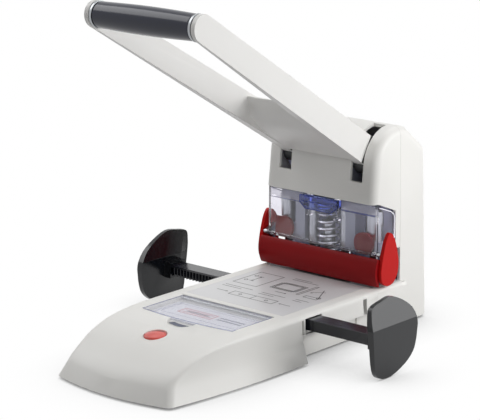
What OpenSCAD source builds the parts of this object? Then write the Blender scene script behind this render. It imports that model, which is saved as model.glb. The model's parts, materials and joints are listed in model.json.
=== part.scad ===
// Manual two-hole punch with a long lever, a sliding side stop and a clear hood.
// Frame: origin under the middle of the base, +X right, +Y to the back, +Z up, millimetres.

/* [Table] */
// Height of the table's top above the desk
table_top = 35; // [33:0.5:40]
// Width of the table across its foot
table_foot_w = 122; // [118:1:130]
// Front end of the nose
nose_y = -145; // [-155:0.5:-141]
// Where the skirt ends and the side band begins
step_y = -6.5; // [-12:0.5:-5]
// Underside of the side band
band_bottom = 20; // [18:0.5:20.5]
// Wall of the moulded covers
wall = 2.5; // [2:0.1:2.8]
// Radius along the table's long edges
table_fillet = 3.5; // [2:0.5:5]
// Height of the rubber feet under the base
foot_h = 2; // [1.5:0.5:4]
// Diameter of a rubber foot
foot_d = 16; // [12:1:20]
// Rear face of the punch at the desk
rear_y = 145; // [143:0.5:150]

/* [Punching] */
// Distance between the two hole centres
hole_spacing = 80; // [76:1:82]
// Diameter of a punched hole
hole_d = 6; // [5:0.1:6.5]
// Distance from a hole centre to the edge of the paper
margin = 12; // [11:0.5:13]
// Place of the punches along the table
punch_y = 94; // [93:0.5:95]
// Thickness of the die plate
die_t = 5; // [4:0.5:6]
// Clear height of the paper throat
throat_h = 9; // [8:0.5:10]
// Thickness of the punch guide plate
guide_t = 3; // [2.5:0.5:4]
// Height of the punch tips above the table at rest
tip_gap = 6; // [5:0.5:6.5]

/* [Side stop] */
// Module of the rack and pinion teeth
gear_module = 1; // [1:0.05:1.1]
// Teeth on the pinion
pinion_teeth = 28; // [26:1:30]
// Place of the pinion along the table
pinion_y = 26; // [24:1:28]
// Height of a rack
rack_h = 8; // [6:0.5:8.5]
// Width of a rack behind its teeth
rack_w = 11.5; // [9:0.5:12]
// Inner face of a paddle from the middle
stop_x = 115; // [112:1:118]
// Thickness of a paddle
paddle_t = 5; // [4:0.5:6]

/* [Window and button] */
// Width of the label window
window_w = 84; // [76:1:88]
// Back edge of the label window
window_y = -21; // [-24:0.5:-19]
// Length of the label window
window_len = 43; // [38:1:46]
// Thickness of the window flap
flap_t = 2; // [1.6:0.1:2.4]
// Diameter of the push button
button_d = 16; // [12:1:18]
// Place of the push button along the table
button_y = -95; // [-98:1:-93]

/* [Head] */
// Height of the lever axle above the desk
axle_z = 120.5; // [119.5:0.5:122]
// Place of the lever axle along the table
axle_y = 110; // [109:0.5:111]
// Diameter of the lever axle
axle_d = 10; // [8:0.5:12]
// Radius of the tower's crown about the axle
crown_r = 28.5; // [28:0.5:30]
// How much each side of the tower leans in per millimetre of height
tower_draft = 0.016; // [0.01:0.001:0.018]
// Front face of the clear hood
hood_y = 82; // [81:0.5:83]
// Top of the clear hood
hood_top = 94.2; // [92:0.2:95]
// Wall of the clear hood
hood_wall = 2; // [1.5:0.1:2.4]
// Width of the blue latch
latch_w = 34; // [26:1:40]
// Height of the red hold-down bar
bar_h = 20.5; // [18:0.5:21]

/* [Lever] */
// Angle of the lever above level at rest
lever_angle = 30.7; // [30:0.1:32]
// Length from the axle to the grip
lever_len = 243; // [220:1:250]
// Depth of an arm at the tower
arm_depth = 21; // [19:0.5:21]
// Depth of an arm at the grip
arm_end_depth = 18.6; // [16:0.2:20]
// Thickness of an arm at the tower
arm_t = 10; // [8:0.5:10.4]
// Thickness of an arm at the grip
arm_end_t = 3; // [2.5:0.5:5]
// Outer face of an arm at the grip from the middle
arm_end_x = 48.7; // [46:0.1:52]
// Distance from the axle to the drive pin
crank_r = 18; // [17:0.5:18]
// Diameter of the drive pin
drive_pin_d = 8; // [6:0.5:8]

/* [Hidden] */

$fn = 48;
eps = 0.01;
big = 400;
gap = 0.3;             // gap between parts that move past each other
run = 0.05;            // radial running clearance of a pin in its bore
seam = 0.2;            // gap along a seam between two fixed covers

// every width across the head follows from the spacing of the holes
punch_x = hole_spacing / 2;
chassis_w = hole_spacing + 17;
tower_w = chassis_w + 8;
table_w = tower_w + 6;
hood_w = tower_w - 2.6;
plate_in_x = punch_x + 2;                       // inner face of a side plate
arm_x = plate_in_x - 4;                         // outer face of an arm at the tower

base_z = foot_h;                               // bottom edge of the mouldings
plate_t = 1.5;                                 // base plate
plate_z = base_z + 0.5;
band_x = table_w / 2;
foot_x = table_foot_w / 2;
chassis_x = chassis_w / 2;
chassis_front_y = step_y - 50;
table_end_y = punch_y - 14.2;                  // where the table stops and the die plate begins
die_z = table_top - die_t;
stop_y = punch_y + margin;                     // paper edge
throat_top = table_top + throat_h;
guide_top = throat_top + guide_t;
tip_z = table_top + tip_gap;
seam_y = axle_y;                               // seam between the two tower covers
white = "#E6E5E1";
grey = "#9A9EA2";
steel = "#B9BCC0";
dark = "#2A2C30";
navy = "#10182A";
red = "#C4201E";
clear = "#C8C8E0";

// ---- helpers ----
// Points of an arc about c, radius r, from angle a to b in n steps.
function arc(c, r, a, b, n = 8) =
  [for (i = [0:n]) [c[0] + r * cos(a + (b - a) * i / n), c[1] + r * sin(a + (b - a) * i / n)]];

// Rectangle with round corners as a list of points.
function rounded(x0, x1, y0, y1, r, n = 5) = concat(
  arc([x1 - r, y1 - r], r, 0, 90, n), arc([x0 + r, y1 - r], r, 90, 180, n),
  arc([x0 + r, y0 + r], r, 180, 270, n), arc([x1 - r, y0 + r], r, 270, 360, n));

// Catmull-Rom point between p1 and p2.
function spline_point(p0, p1, p2, p3, t) =
  0.5 * (2 * p1 + (p2 - p0) * t + (2 * p0 - 5 * p1 + 4 * p2 - p3) * t * t
         + (3 * p1 - p0 - 3 * p2 + p3) * t * t * t);

// Closed smooth outline through the points.
function smooth_loop(p, n = 4) = let (m = len(p))
  [for (i = [0:m - 1], j = [0:n - 1])
    spline_point(p[(i + m - 1) % m], p[i], p[(i + 1) % m], p[(i + 2) % m], j / n)];

// Profile in Y and Z, carried along X.
module along_x(x0, x1) { translate([x0, 0, 0]) rotate([90, 0, 90]) linear_extrude(x1 - x0) children(); }

// Profile in X and Z, carried along Y.
module along_y(y0, y1) { translate([0, y1, 0]) rotate([90, 0, 0]) linear_extrude(y1 - y0) children(); }

module box(x0, x1, y0, y1, z0, z1) { translate([x0, y0, z0]) cube([x1 - x0, y1 - y0, z1 - z0]); }

module both_sides() { children(); mirror([1, 0, 0]) children(); }

module rod_x(x0, x1, y, z, d) { translate([x0, y, z]) rotate([0, 90, 0]) cylinder(d = d, h = x1 - x0); }

module rod_z(x, y, z0, z1, d) { translate([x, y, z0]) cylinder(d = d, h = z1 - z0); }

// Triangles across a ring of n points from index k, between the points that face each other.
function cap(n, k, up) = [for (i = [0:ceil(n / 2) - 2]) let (a = i, b = i + 1, c = n - 2 - i,
    d = n - 1 - i)
  each [for (t = b < c ? [[a, b, c], [a, c, d]] : [[a, b, d]])
    up ? [k + t[2], k + t[1], k + t[0]] : [k + t[0], k + t[1], k + t[2]]]];

// Closed solid through rings of equal length, bottom ring first, each seen anticlockwise from above.
module loft(rings) {
  n = len(rings[0]);
  m = len(rings);
  polyhedron(
    points = [for (ring = rings) each ring],
    faces = concat(cap(n, 0, false), cap(n, (m - 1) * n, true),
      [for (k = [0:m - 2], i = [0:n - 1]) [k * n + i, (k + 1) * n + i, k * n + (i + 1) % n]],
      [for (k = [0:m - 2], i = [0:n - 1])
        [k * n + (i + 1) % n, (k + 1) * n + i, (k + 1) * n + (i + 1) % n]]));
}

// Round wire wound into a helix along Z with flattened end turns.
module coil(x, y, z0, z1, coil_d, wire_d, turns, steps = 20, sides = 6) {
  rise = z1 - z0 - wire_d;
  n = turns * steps;
  translate([x, y, z0 + wire_d / 2]) loft([for (k = [0:n]) let (
      a = 360 * k / steps, f = min(1, max(0, (k / steps - 0.75) / (turns - 1.5))))
      [for (s = [0:sides - 1]) let (b = -360 * s / sides, r = (coil_d - wire_d) / 2 + wire_d / 2 * cos(b))
        [r * cos(a), r * sin(a), rise * f + wire_d / 2 * sin(b)]]]);
}

// ---- table cover ----
// Rounded corner of the nose at a height: each entry is a height and the place of the corner.
nose_profile = [[0, 6.5], [10, 11.5], [14, 14.5], [18, 20.5], [21, 26], [24, 32], [27, 41], [29.2, 51],
                [30.8, 63], [32, 75], [32.7, 82], [33, 87]];
nose_levels = [for (p = nose_profile) base_z + p[0] * (table_top - base_z) / 33];
nose_sweep = 6.5;      // how far the nose bulges between its corners
nose_corner_r = 6;

// Half width of the table at place y and height fraction h.
turn_r = 20;                                    // the skirt turns in towards the step
turn_y = step_y - 18;
turn_top = (band_bottom - base_z) / (table_top - base_z);
function turned_in(y, h) = let (d = min(step_y - turn_y, max(0, y - turn_y)))
  (turn_r - sqrt(pow(turn_r, 2) - pow(d, 2))) * min(1, max(0, (turn_top - h) / 0.2));
function table_half(y, h) =
  let (t = max(0, (-32 - y) / 101), foot = foot_x - 8.3 * t * t, top = band_x - 11 * t * t)
  max(min(top, chassis_x + wall + gap), top + (foot - top) * pow(1 - h, 2.5) - turned_in(y, h));

// One level outline of the table from its rear end round the nose, moved in by inset.
function table_ring(level, inset, y_rear, n_side = 6, n_front = 8) =
  let (z = nose_levels[level], h = (z - base_z) / (table_top - base_z),
       fillet_in = z <= table_top - table_fillet ? 0
         : table_fillet - sqrt(pow(table_fillet, 2) - pow(z - table_top + table_fillet, 2)),
       cy = nose_y + nose_profile[level][1] + nose_corner_r + inset,
       cx = table_half(cy, h) - fillet_in - inset - nose_corner_r,
       sweep = nose_sweep * (1 - 0.5 * h),
       left = concat(
         [for (y = concat([y_rear], [for (i = [0:6]) step_y + (turn_y - step_y) * i / 6],
                          [for (i = [1:n_side]) turn_y + (cy - turn_y) * i / (n_side + 1)]))
           [-(table_half(y, h) - fillet_in - inset), y]],
         arc([-cx, cy], nose_corner_r, 180, 262, 5)),
       front = [for (i = [1:n_front - 1]) let (u = -1 + 2 * i / n_front)
         [u * cx * 1.0, cy - nose_corner_r - sweep * (1 - u * u)]],
       right = [for (i = [len(left) - 1:-1:0]) [-left[i][0], left[i][1]]])
  concat(left, front, right);

// Solid of the table: the outer form, or the hollow when inset and drop are the wall.
module table_form(inset, drop, y_rear, z_low) {
  last = len(nose_levels) - 1;
  loft([for (k = [0:last]) let (z = k == 0 ? z_low : nose_levels[k] - drop)
    [for (p = table_ring(k, inset, y_rear)) [p[0], p[1], z]]]);
}

pocket_floor = 1.5;
pocket_z = table_top - flap_t - 1.8;                 // floor of the label pocket
pocket_x = window_w / 2 + gap + 0.4;
pocket_front = window_y - window_len - 3 - gap;
flap_pin_y = window_y - 1.6;
flap_pin_z = table_top - 1.7;
button_r = button_d / 2;
button_well_r = button_r + 0.25;
button_z = base_z + 31;                              // top of the button at its centre
button_skirt_z = button_z - 9;
button_well_z = 14;
rack_z = band_bottom + 3.5;                          // underside of a rack
pitch_r = gear_module * pinion_teeth / 2;
rack_front_y = pinion_y - pitch_r - gear_module * 1.25 - rack_w;   // plain face of the right rack
rack_gap = 1.5;

// Opening in the side band for the right rack; the left one is the same, turned about the pinion.
module rack_opening() {
  box(30, big, rack_front_y - 2.5, pinion_y - pitch_r + gear_module + rack_gap,
      rack_z - 2.5, rack_z + rack_h + 0.6);
}
module about_pinion() { translate([0, pinion_y, 0]) rotate([0, 0, 180]) translate([0, -pinion_y,
    0]) children(); }

module table_cover() color(white) difference() {
  union() {
    difference() {
      table_form(0, 0, table_end_y, base_z);
      table_form(wall, wall, table_end_y + 10, base_z - 1);
      // behind the step only the band is left
      box(-big, big, step_y, big, -1, band_bottom);
      box(-big, -band_x - 0.6, step_y, big, -1, big);
      box(band_x + 0.6, big, step_y, big, -1, big);
    }
    // pocket floor under the label window
    intersection() {
      table_form(0.5, 0.5, table_end_y, base_z);
      box(-pocket_x - 3, pocket_x + 3, pocket_front - 16, window_y + 3, pocket_z - pocket_floor,
          table_top - 1);
    }
    // bosses for the screws of the nose
    intersection() {
      table_form(0.5, 0.5, table_end_y, base_z);
      for (p = nose_screws) rod_z(p[0], p[1], plate_z + plate_t + 0.05, table_top, boss_d);
    }
    // round well of the push button
    intersection() {
      table_form(0.5, 0.5, table_end_y, base_z);
      rod_z(0, button_y, button_well_z, table_top, 2 * button_well_r + 4);
    }
    // side bands beside the die plate, wrapped round the tower
    both_sides() {
      along_y(table_end_y - 1, seam_y - gap) polygon(concat(
        [[chassis_x + gap, table_top - wall], [band_x - wall, table_top - wall], [band_x - wall,
            band_bottom],
         [band_x + 0.4, band_bottom]],
        arc([band_x - table_fillet, table_top - table_fillet], table_fillet, 0, 90, 6),
        [[chassis_x + gap, table_top]]));
      along_y(seam_y - gap - 0.1, seam_y + 4) polygon(
        [[tower_w / 2 + 0.1, band_bottom], [band_x + 0.4, band_bottom], [band_x,
            table_top - table_fillet],
         [band_x - 1.2, table_top - 1], [tower_w / 2 + 0.1, table_top - 1]]);
    }
  }
  // label pocket with a bowed front edge
  translate([0, 0, pocket_z]) linear_extrude(big) polygon(concat(
    [[pocket_x, window_y + gap], [-pocket_x, window_y + gap], [-pocket_x + 1, pocket_front + 3]],
    [for (i = [0:8]) let (u = -1 + i / 4) [u * (pocket_x - 1), pocket_front + 3 * u * u]]));
  // thumb notch in front of the window
  intersection() {
    rod_z(0, pocket_front + 1, pocket_z + 0.6, big, 24);
    box(-20, 20, pocket_front - 20, pocket_front + 4, 0, big);
  }
  rod_z(0, button_y, -1, big, 2 * button_well_r);
  for (p = nose_screws) rod_z(p[0], p[1], 0, screw_tip_z + 1, screw_d + 0.02);
  // bores of the flap pin, open to the left for its assembly
  rod_x(-pocket_x - 2.5, pocket_x + 2.5, flap_pin_y, flap_pin_z, 1.6);
  // shallow seat of the printed sheet
  box(-sheet_w / 2 - 0.2, sheet_w / 2 + 0.2, sheet_y0 - 0.2, table_end_y + 1, table_top - sheet_t, big);
  rack_opening();
  about_pinion() rack_opening();
  // slits of the side band
  box(band_x - 5.5, big, step_y - 0.5, step_y + 1.5, rack_z - 2, rack_z + rack_h);
  box(band_x - 5.5, big, pinion_y + 36, pinion_y + 40, band_bottom - 0.2, rack_z + rack_h);
}

sheet_w = table_w - 21;
sheet_t = 0.4;
sheet_y0 = window_y + 6;
module table_sheet() color("#D8D8DA")
  box(-sheet_w / 2, sheet_w / 2, sheet_y0, table_end_y - seam, table_top - sheet_t + 0.05, table_top);

module label_card() color("#E8E8F0")
  box(-window_w / 2 + 2, window_w / 2 - 2, window_y - window_len + 3, window_y - 6, pocket_z + 0.05,
      pocket_z + 0.45);

flap_barrel_r = 1.5;
module window_flap() color(clear, 0.5) difference() {
  union() {
    translate([0, 0, table_top - flap_t - 0.2]) linear_extrude(flap_t) polygon(concat(
      [[window_w / 2, flap_pin_y], [-window_w / 2, flap_pin_y], [-window_w / 2 + 1,
          window_y - window_len]],
      [for (i = [0:8]) let (u = -1 + i / 4)
        [u * (window_w / 2 - 1), window_y - window_len - 3 + 3 * u * u]]));
    rod_x(-window_w / 2, window_w / 2, flap_pin_y, flap_pin_z, 2 * flap_barrel_r);
  }
  rod_x(-big, big, flap_pin_y, flap_pin_z, 1.5 + 2 * run);
}

module flap_pin() color(steel) rod_x(-pocket_x - 2.4, pocket_x + 2.4, flap_pin_y, flap_pin_z, 1.5);

button_stem_r = 3.2;
module push_button() color(red) translate([0, button_y, 0]) rotate_extrude() polygon(concat(
  [[0, button_skirt_z - 8], [button_stem_r, button_skirt_z - 8], [button_stem_r, button_skirt_z],
   [button_r, button_skirt_z], [button_r, button_z - 2.6], [button_r - 0.5, button_z - 1.6]],
  [for (i = [1:6]) let (f = i / 6) [(button_r - 0.9) * (1 - f), button_z - 1.3 + 1.3 * sin(90 * f)]]));

button_spring_top = button_skirt_z - 0.1;
module button_spring() color(steel)
  coil(0, button_y, plate_z + plate_t + 0.1, button_spring_top, 9.6, 0.9, 6);

// ---- base ----
module plate_outline(inset) {
  polygon(concat([[chassis_x - inset, rear_y - inset - 6], [-chassis_x + inset, rear_y - inset - 6]],
    arc([-table_half(nose_y + 20, 0) + inset + 14, nose_y + inset + 18], 8, 180, 262, 4),
    arc([table_half(nose_y + 20, 0) - inset - 14, nose_y + inset + 18], 8, 278, 360, 4)));
}

tray_x = chassis_x - 6.5;
tray_front_y = punch_y - 28;
module base_plate() color(grey) difference() {
  translate([0, 0, plate_z]) linear_extrude(plate_t) plate_outline(3.5);
  for (p = foot_places) rod_z(p[0], p[1], 0, plate_z + 0.6, foot_d + 0.4);
  for (p = foot_places) rod_z(p[0], p[1], 0, 20, 4.2);
  for (p = concat(chassis_screws, nose_screws)) rod_z(p[0], p[1], 0, 20, screw_d + 0.4);
}

screw_d = 3;
screw_tip_z = 13;
boss_d = 8;
chassis_screws = [for (s = [-1, 1], y = [chassis_front_y + 12,
    pinion_y + 32]) [s * (chassis_x - 10.5), y]];
nose_screws = [[-24, nose_y + 26], [24, nose_y + 26]];
module cover_screws() color(steel) for (p = concat(chassis_screws, nose_screws)) {
  translate([p[0], p[1], plate_z - 1.2]) rotate_extrude() polygon(concat(
    [[0, 0.3], [0.9, 0.3], [0.9, 0]], arc([1.6, 1], 1, -90, 0, 4),
    [[2.6, 1.2], [screw_d / 2, 1.2], [screw_d / 2, screw_tip_z - plate_z + 0.6], [0,
        screw_tip_z - plate_z + 1.2]]));
}

foot_places = [for (s = [-1, 1], y = [nose_y + 30, rear_y - 20]) [s * (chassis_x - 12.5), y]];
module rubber_feet() color(dark) for (p = foot_places) translate([p[0], p[1], 0]) {
  rotate_extrude() polygon([[0, 0], [foot_d / 2 - 0.8, 0], [foot_d / 2, 0.8], [foot_d / 2, plate_z + 0.5],
    [2, plate_z + 0.5], [2, plate_z + plate_t + 0.4], [0, plate_z + plate_t + 0.4]]);
}

module base_chassis() color(white) difference() {
  union() {
    for (p = chassis_screws) rod_z(p[0], p[1], plate_z + plate_t + 0.05, band_bottom - 1, boss_d);
    difference() {
      box(-chassis_x, chassis_x, chassis_front_y, seam_y - 2, base_z, band_bottom);
      box(-chassis_x + wall, chassis_x - wall, chassis_front_y + wall, seam_y, base_z - 1,
          band_bottom - wall);
      box(-chassis_x + wall, chassis_x - wall, chassis_front_y - 1, seam_y, base_z - 1,
          plate_z + plate_t + 0.05);
    }
    // inside the rear cover
    difference() {
      box(-chassis_x, chassis_x, seam_y - 2 - eps, rear_y - 4, base_z, die_z);
      box(-chassis_x + wall, chassis_x - wall, seam_y - 3, rear_y, base_z - 1, die_z - wall);
    }
    // raised walls that carry the die plate
    difference() {
      box(-chassis_x, chassis_x, table_end_y, seam_y - 2, band_bottom - 1, die_z);
      box(-chassis_x + wall, chassis_x - wall, table_end_y + wall, seam_y, band_bottom - wall - eps,
          die_z - wall);
    }
  }
  for (p = chassis_screws) rod_z(p[0], p[1], 0, screw_tip_z + 1, screw_d + 0.02);
  // chips fall through to the tray
  for (s = [-1, 1]) rod_z(s * punch_x, punch_y, band_bottom - 5, big, 10);
  box(-chassis_x + wall, chassis_x - wall, table_end_y + wall, rear_y - 20, band_bottom - wall - 1,
      die_z - wall);
  // finger recess under the side band
  box(chassis_x - 1.5, big, pinion_y + 16, pinion_y + 38, 11.4, big);
}

tray_t = 1.5;
tray_z = plate_z + plate_t + 0.5;
tray_top = band_bottom - wall - 0.8;
module chip_tray() color(dark) {
  difference() {
    box(-tray_x, tray_x, tray_front_y, rear_y - 0.6, tray_z, tray_top);
    box(-tray_x + tray_t, tray_x - tray_t, tray_front_y + tray_t, rear_y - 0.6 - wall,
        tray_z + tray_t, big);
    // finger grip in the rear wall
    along_x(-16, 16) polygon(arc([rear_y + 1.2, tray_z + 7], 3, 0, 360, 20));
  }
}

// ---- side stop ----
guide_base_z = band_bottom + 0.05;
module rack_guide() color(dark) difference() {
  union() {
    box(-chassis_x + 1, chassis_x - 1, rack_front_y - 6, 2 * pinion_y - rack_front_y + 6,
        guide_base_z, rack_z - 0.15);
    // fences beside the plain faces of the racks
    box(-chassis_x + 1, chassis_x - 1, rack_front_y - 4, rack_front_y - 0.3, guide_base_z,
        rack_z + rack_h - 1);
    about_pinion()
      box(-chassis_x + 1, chassis_x - 1, rack_front_y - 4, rack_front_y - 0.3, guide_base_z,
          rack_z + rack_h - 1);
  }
  rod_z(0, pinion_y, 0, 60, pin_d + 0.02);
}

pin_d = 5;
module pinion_pin() color(steel) {
  rod_z(0, pinion_y, guide_base_z + 0.2, rack_z + rack_h + 0.4, pin_d);
}

// Tooth of the pinion as an outline about the middle of the gear: involute-like trapezium.
function pinion_outline(r_add, r_ded, teeth) = [for (i = [0:teeth - 1]) let (p = 360 / teeth, a = i * p)
  each [for (q = [[-0.31, r_ded], [-0.245, pitch_r], [-0.12, r_add], [0.12, r_add], [0.245, pitch_r],
                  [0.31, r_ded]]) [q[1] * cos(a + q[0] * p), q[1] * sin(a + q[0] * p)]]];
// A tooth space faces each rack when the teeth of the racks are centred on the gear.
module pinion() color(white) difference() {
  translate([0, pinion_y, rack_z + 0.1]) rotate(90 + 180 / pinion_teeth) linear_extrude(rack_h - 2)
    polygon(pinion_outline(pitch_r + 0.92 * gear_module, pitch_r - 1.2 * gear_module, pinion_teeth));
  rod_z(0, pinion_y, 0, 60, pin_d + 2 * run);
}

rack_pitch = PI * gear_module;
rack_inner_x = -38.5;
rack_flange = 1.6;
module rack_right() color("#0A0C14") {
  y_pitch = pinion_y - pitch_r;
  y_root = y_pitch - 1.25 * gear_module;
  n_low = ceil((rack_inner_x + 1) / rack_pitch);
  n_high = floor((stop_x - 6) / rack_pitch);
  // flange over the teeth
  box(rack_inner_x, stop_x - 0.1, rack_front_y, y_pitch + 0.92 * gear_module, rack_z + rack_h - rack_flange,
      rack_z + rack_h);
  translate([0, 0, rack_z]) linear_extrude(rack_h) polygon(concat(
    [[stop_x - 0.1, y_root], [stop_x - 0.1, rack_front_y], [rack_inner_x, rack_front_y],
        [rack_inner_x, y_root]],
    [for (i = [n_low:n_high]) let (x = i * rack_pitch)
      each [[x - 0.32 * rack_pitch, y_root], [x - 0.12 * rack_pitch, y_pitch + 0.92 * gear_module],
            [x + 0.12 * rack_pitch, y_pitch + 0.92 * gear_module], [x + 0.32 * rack_pitch, y_root]]]));
}
module rack_left() about_pinion() rack_right();

// Half-leaf outline of a paddle in Y and Z.
paddle_outline = [[11.1, 57.4], [0, 56.2], [-10, 53.6], [-11.6, 47], [-11.3, 39.5], [-8.9, 24],
    [-6.4, 8.9],
                  [-1.2, 2.4], [11.9, 0.7], [27.6, 6.2], [36, 13], [38.7, 20.2], [39.4, 27.5],
                      [39.2, 34.8],
                  [34, 44.9], [23.4, 52.6]];
paddle_crease_z = 37.5;                           // the outer face is widest here
module paddle_right() color("#4A5050") {
  intersection() {
    along_x(stop_x, stop_x + paddle_t) polygon(smooth_loop(paddle_outline, 3));
    along_y(-big / 2, big / 2) polygon([[stop_x - 1, -5], [stop_x + paddle_t - 2, -5],
        [stop_x + paddle_t - 1.8, 2],
      [stop_x + paddle_t, paddle_crease_z], [stop_x + paddle_t - 2.3, 60], [stop_x - 1, 60]]);
  }
  // socket round the end of the rack
  difference() {
    box(stop_x - 6, stop_x + 0.5, rack_front_y - 1.8, pinion_y - pitch_r + 2.6, rack_z - 1.8,
        rack_z + rack_h + 1.8);
    box(0, stop_x - 0.08, rack_front_y - 0.02, pinion_y - pitch_r + gear_module, rack_z - 0.02,
        rack_z + rack_h + 0.02);
  }
}
module paddle_left() about_pinion() paddle_right();

// ---- punch head ----
head_x = chassis_x - seam;                      // half width of the die plate
plate_thick = 3;
plate_front_y = stop_y + 1;
head_back_y = stop_y + 24;

module die_plate() color(grey) difference() {
  box(-head_x, head_x, table_end_y + seam, head_back_y, die_z + 0.05, table_top);
  for (s = [-1, 1]) rod_z(s * punch_x, punch_y, 0, big, hole_d + 0.3);
}

module back_stop() color(dark)
  box(-plate_in_x + 0.2, plate_in_x - 0.2, stop_y, head_back_y, table_top, throat_top);

rod_d = 8;
rod_x_place = punch_x - 25;
spring_d = 2 * (rod_x_place - rod_d / 2) - 3;   // the return spring stands between the rods
post_d = (spring_d - 1) / 2;
bar_w = hood_w + 7.6;                           // the bar reaches past the hood
tongue_x0 = hood_w / 2 + 0.5;
tongue_x1 = bar_w / 2 + 1.2;
tongue_y = punch_y - 3.5;
tongue_top = throat_top + 20;
ear_r = 1.4;
hinge_y = hood_y + ear_r;                       // hinge of the hood, in its front corners
hinge_z = throat_top + 15.5;
hood_bottom = hinge_z - ear_r;
ear_x0 = hood_w / 2 - 5;
hood_pin_d = 1.5;
hood_arm_h = 4.4;
module guide_plate() color(steel) difference() {
  union() {
    box(-plate_in_x + 0.2, plate_in_x - 0.2, punch_y - 8, head_back_y, throat_top, guide_top);
    box(-head_x, head_x, punch_y - 8, plate_front_y - 0.5, throat_top, guide_top);
    both_sides() {
      // tongue that the end cap of the hold-down bar slides on
      box(head_x - 1, tongue_x1, tongue_y - 1.5, tongue_y + 1.5, throat_top, guide_top);
      box(tongue_x0, tongue_x1, tongue_y - 1.5, tongue_y + 1.5, throat_top, tongue_top);
      // arm that carries the hinge of the hood, outside its side wall
      along_x(tongue_x0, tongue_x0 + 2.8) polygon(concat(
        [[tongue_y, hinge_z - hood_arm_h], [tongue_y, hinge_z + hood_arm_h]],
        arc([hinge_y, hinge_z], ear_r + 0.2, 100, 250, 10)));
    }
  }
  for (s = [-1, 1]) rod_z(s * punch_x, punch_y, 0, big, hole_d + 2 * run);
  for (s = [-1, 1]) rod_z(s * rod_x_place, punch_y, 0, big, rod_d + 0.02);
  rod_z(0, punch_y, 0, big, 5.02);
  rod_x(-60, 60, hinge_y, hinge_z, hood_pin_d + 0.04);
}

beam_z = throat_top + 45;                       // underside of the crosshead beam at rest
beam_h = 10;
module guide_rods() color(steel) for (s = [-1, 1])
  rod_z(s * rod_x_place, punch_y, throat_top, beam_z + beam_h + 8, rod_d);

module spring_post() color(steel) {
  rod_z(0, punch_y, throat_top, guide_top + 0.1, 5);
  rod_z(0, punch_y, guide_top, beam_z - 14, post_d);
}

module return_spring() color(steel)
  coil(0, punch_y, guide_top + 0.1, beam_z - 0.1, spring_d, 2, 9);

yoke_x0 = rod_x_place + 5;
yoke_x1 = yoke_x0 + 4;
yoke_r = 6.3;
crank_angle = 5.75;
drive_y = axle_y - crank_r * cos(crank_angle);
drive_z = axle_z + crank_r * sin(crank_angle);
slot_h = drive_pin_d + 0.3;
leg_x0 = yoke_x0 - 1;
leg_x1 = punch_x - 12;
lug_z = throat_top + 14;
lug_h = 8;
bush_r = 6;
cross_y0 = punch_y - 6;
cross_y1 = punch_y + 6;
module crosshead() color(grey) difference() {
  union() {
    box(-plate_in_x + 1, plate_in_x - 1, cross_y0, cross_y1, beam_z, beam_z + beam_h);
    both_sides() {
      box(leg_x0, leg_x1, cross_y0, cross_y1, lug_z, beam_z + 1);
      box(leg_x0, ear_x0 - gap - 0.4, cross_y0, cross_y1, lug_z, lug_z + lug_h);
      // yoke plate with a level slot for the drive pin
      along_x(yoke_x0, yoke_x1) polygon(concat(
        [[drive_y + 1.3 + yoke_r, beam_z + beam_h - 1]], arc([drive_y + 1.3, drive_z], yoke_r, 0, 90, 8),
        arc([drive_y, drive_z], yoke_r, 90, 180, 8), [[drive_y - yoke_r, beam_z + beam_h - 1]]));
    }
  }
  both_sides() box(yoke_x0 - 1, yoke_x1 + 1, drive_y - drive_pin_d / 2 - 0.4,
                   drive_y + drive_pin_d / 2 + 1.8, drive_z - slot_h / 2, drive_z + slot_h / 2);
  for (s = [-1, 1]) rod_z(s * rod_x_place, punch_y, beam_z - 5, beam_z + beam_h + 5, 2 * bush_r + 0.02);
  for (s = [-1, 1]) rod_z(s * punch_x, punch_y, lug_z - 5, lug_z + lug_h + 5, hole_d + 0.1);
}

module crosshead_bushes() color("#B08D57") for (s = [-1, 1]) difference() {
  rod_z(s * rod_x_place, punch_y, beam_z, beam_z + beam_h + 1, 2 * bush_r);
  rod_z(s * rod_x_place, punch_y, 0, big, rod_d + 2 * run);
}

punch_head_d = 11;
module punch(s) color(steel) difference() {
  translate([s * punch_x, punch_y, 0]) rotate_extrude() polygon([[0, tip_z + 1], [hole_d / 2 - 0.8,
      tip_z],
    [hole_d / 2, tip_z], [hole_d / 2, lug_z + lug_h + 0.05], [punch_head_d / 2, lug_z + lug_h + 0.05],
    [punch_head_d / 2, beam_z - 0.6], [punch_head_d / 2 - 0.5, beam_z - 0.1], [0, beam_z - 0.1]]);
  rod_z(s * punch_x, punch_y, tip_z - 1, tip_z + 8, 0.01 + 0.4 * hole_d);
}
module punch_right() punch(1);
module punch_left() punch(-1);

key_y0 = hood_y + hood_wall + 1.2;
key_x0 = leg_x1 + 1;
key_x1 = ear_x0 - gap - 0.4;
module punch_keys() color(red) both_sides() difference() {
  union() {
    translate([0, cross_y0 - 0.05, 0]) rotate([90, 0, 0]) linear_extrude(cross_y0 - 0.05 - key_y0)
      polygon(rounded(key_x0, key_x1, lug_z - 1, lug_z + 15, 7, 6));
    // forked shoe round the head of the punch
    box(punch_x - 8, key_x1, cross_y0 - 1, punch_y - punch_head_d / 2 - gap, lug_z + lug_h + 0.3,
        lug_z + 14);
  }
}

// ---- axle, frame ----
module side_plates() color(steel) {
  frame_side();
  mirror([1, 0, 0]) frame_side();
  // cross wall behind the crosshead
  box(-plate_in_x - 0.5, plate_in_x + 0.5, plate_front_y, plate_front_y + 1.5, guide_top, axle_z - 22.5);
}
module frame_side() difference() {
  along_x(plate_in_x, plate_in_x + plate_thick) polygon(concat(
    [[plate_front_y, table_top], [head_back_y + 2, table_top], [head_back_y + 6, table_top + 30]],
    arc([axle_y, axle_z], 15, -10, 190, 16), [[plate_front_y, axle_z - 20]]));
  rod_x(0, 60, axle_y, axle_z, axle_d + 0.04);
}

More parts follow.
